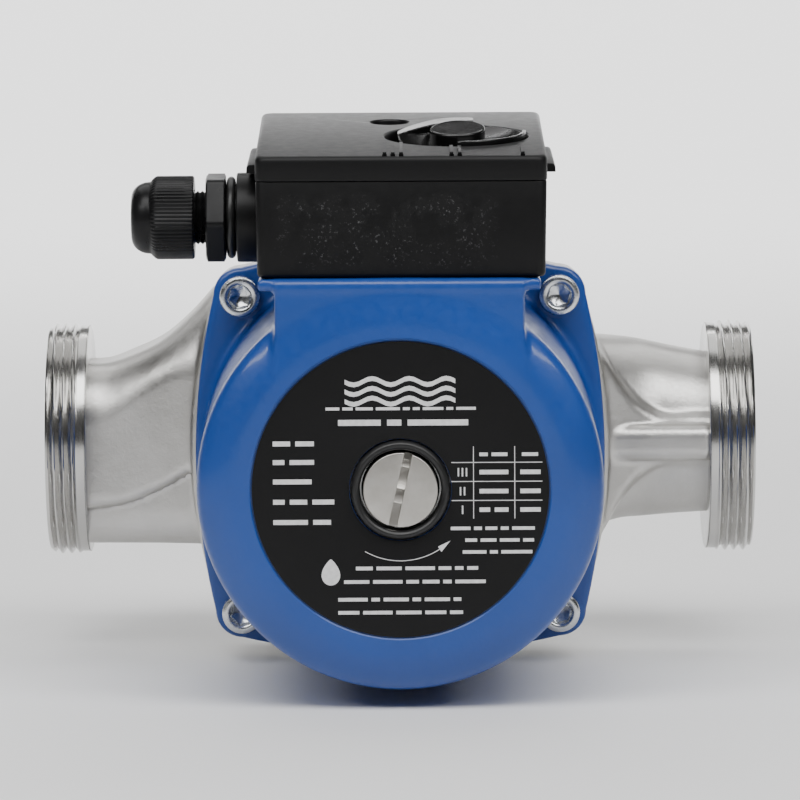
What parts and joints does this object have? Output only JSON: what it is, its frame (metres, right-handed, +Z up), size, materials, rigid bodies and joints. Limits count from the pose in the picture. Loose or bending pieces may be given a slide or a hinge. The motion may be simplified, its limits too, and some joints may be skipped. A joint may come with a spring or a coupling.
{
  "type": "circulator pump",
  "caption": "Wet-rotor heating circulator: in-line threaded ports, round motor housing with vent screw, terminal box with speed knob and cable gland.",
  "frame": {"origin": "where the port axis crosses the motor axis, halfway between the two union faces", "axes": "+X along the port axis towards the discharge union, -Y along the motor axis towards the vent screw, +Z up towards the terminal box"},
  "size_m": [0.18, 0.1563, 0.1371],
  "materials": {
    "cast_steel": "satin investment-cast stainless steel",
    "machined_steel": "turned stainless steel",
    "zinc": "bright zinc plated steel",
    "blue_paint": "satin blue powder coat",
    "black_plastic": "fine-grained moulded plastic",
    "gland_plastic": "satin moulded polyamide",
    "rubber": "smooth elastomer",
    "label_film": "satin printed film",
    "copper": "lacquered copper",
    "lamination": "stacked electrical steel",
    "carbon": "sintered carbon",
    "brass": "turned brass",
    "ivory_plastic": "moulded polyamide",
    "white_plastic": "smooth moulded plastic",
    "wire_black": "PVC insulation",
    "wire_red": "PVC insulation",
    "wire_white": "PVC insulation"
  },
  "bodies": {
    "pump": {"bearing_plate": "machined_steel", "box_gasket": "rubber", "box_screw_1": "zinc", "box_screw_2": "zinc", "can_bearing": "carbon", "can_bearing_holder": "machined_steel", "capacitor": "white_plastic", "earth_terminal": "brass", "flange_screw_1": "zinc", "flange_screw_2": "zinc", "flange_screw_3": "zinc", "flange_screw_4": "zinc", "gland_body": "gland_plastic", "gland_locknut": "gland_plastic", "gland_o_ring": "rubber", "housing_gasket": "rubber", "name_plate": "label_film", "neck_ring": "machined_steel", "plate_bearing": "carbon", "pump_housing": "cast_steel", "rotor_can": "machined_steel", "speed_switch": "ivory_plastic", "stator_core": "lamination", "stator_housing": "blue_paint", "terminal_block": "ivory_plastic", "terminal_box_base": "black_plastic", "terminal_screw_1": "brass", "terminal_screw_2": "brass", "terminal_screw_3": "brass", "thrust_bearing": "carbon", "vent_collar": "rubber", "winding_front": "copper", "winding_rear": "copper", "wire_common": "wire_black", "wire_run": "wire_white", "wire_start": "wire_red"},
    "rotor": {"shaft": "machined_steel", "rotor_core": "lamination", "rotor_end_ring_front": "copper", "rotor_end_ring_rear": "copper", "thrust_disc": "carbon", "impeller": "machined_steel", "impeller_shroud": "machined_steel", "impeller_nut": "zinc"},
    "lid": {"terminal_box_lid": "black_plastic", "lid_seal": "rubber"},
    "lid_screw": {"lid_screw": "zinc"},
    "knob": {"speed_knob": "black_plastic"},
    "switch_shaft": {"switch_shaft": "white_plastic"},
    "vent_seal": {"vent_o_ring": "rubber"},
    "vent_screw": {"vent_screw": "machined_steel"},
    "gland_insert": {"gland_seal": "rubber", "gland_claw": "gland_plastic"},
    "gland_nut": {"gland_nut": "gland_plastic"}
  },
  "joints": [
    {"name": "rotor_spin", "type": "hinge", "parent": "pump", "child": "rotor", "pos_m": [0, 0, 0], "axis": [0, 1, 0], "continuous": true},
    {"name": "lid_lift", "type": "slide", "parent": "pump", "child": "lid", "axis": [0, -0.1028, 0.9947], "range_m": [0, 0.04]},
    {"name": "knob_turn", "type": "hinge", "parent": "lid", "child": "knob", "pos_m": [0.0139, -0.08867, 0.08167], "axis": [0, -0.1028, 0.9947], "range_deg": [0, 180]},
    {"name": "switch_turn", "type": "hinge", "parent": "pump", "child": "switch_shaft", "pos_m": [0.0139, -0.08867, 0.08167], "axis": [0, -0.1028, 0.9947], "range_deg": [0, 180]},
    {"name": "lid_screw_turn", "type": "hinge", "parent": "lid", "child": "lid_screw", "pos_m": [-0.0022, -0.06599, 0.08402], "axis": [0, -0.1028, 0.9947], "continuous": true},
    {"name": "vent_travel", "type": "slide", "parent": "pump", "child": "vent_seal", "axis": [0, -1, 0], "range_m": [0, 0.006]},
    {"name": "vent_turn", "type": "hinge", "parent": "vent_seal", "child": "vent_screw", "pos_m": [0, -0.12, 0], "axis": [0, -1, 0], "range_deg": [0, 1440]},
    {"name": "gland_travel", "type": "slide", "parent": "pump", "child": "gland_insert", "axis": [-1, 0, 0], "range_m": [0, 0.0045]},
    {"name": "gland_turn", "type": "hinge", "parent": "gland_insert", "child": "gland_nut", "pos_m": [-0.055, -0.085, 0.062], "axis": [-1, 0, 0], "range_deg": [0, 1080]}
  ],
  "couplings": [
    {"joint": "switch_turn", "follows": "knob_turn", "ratio": 1},
    {"joint": "vent_turn", "follows": "vent_travel", "rad_per_m": 4188.8},
    {"joint": "gland_turn", "follows": "gland_travel", "rad_per_m": 4188.8}
  ]
}
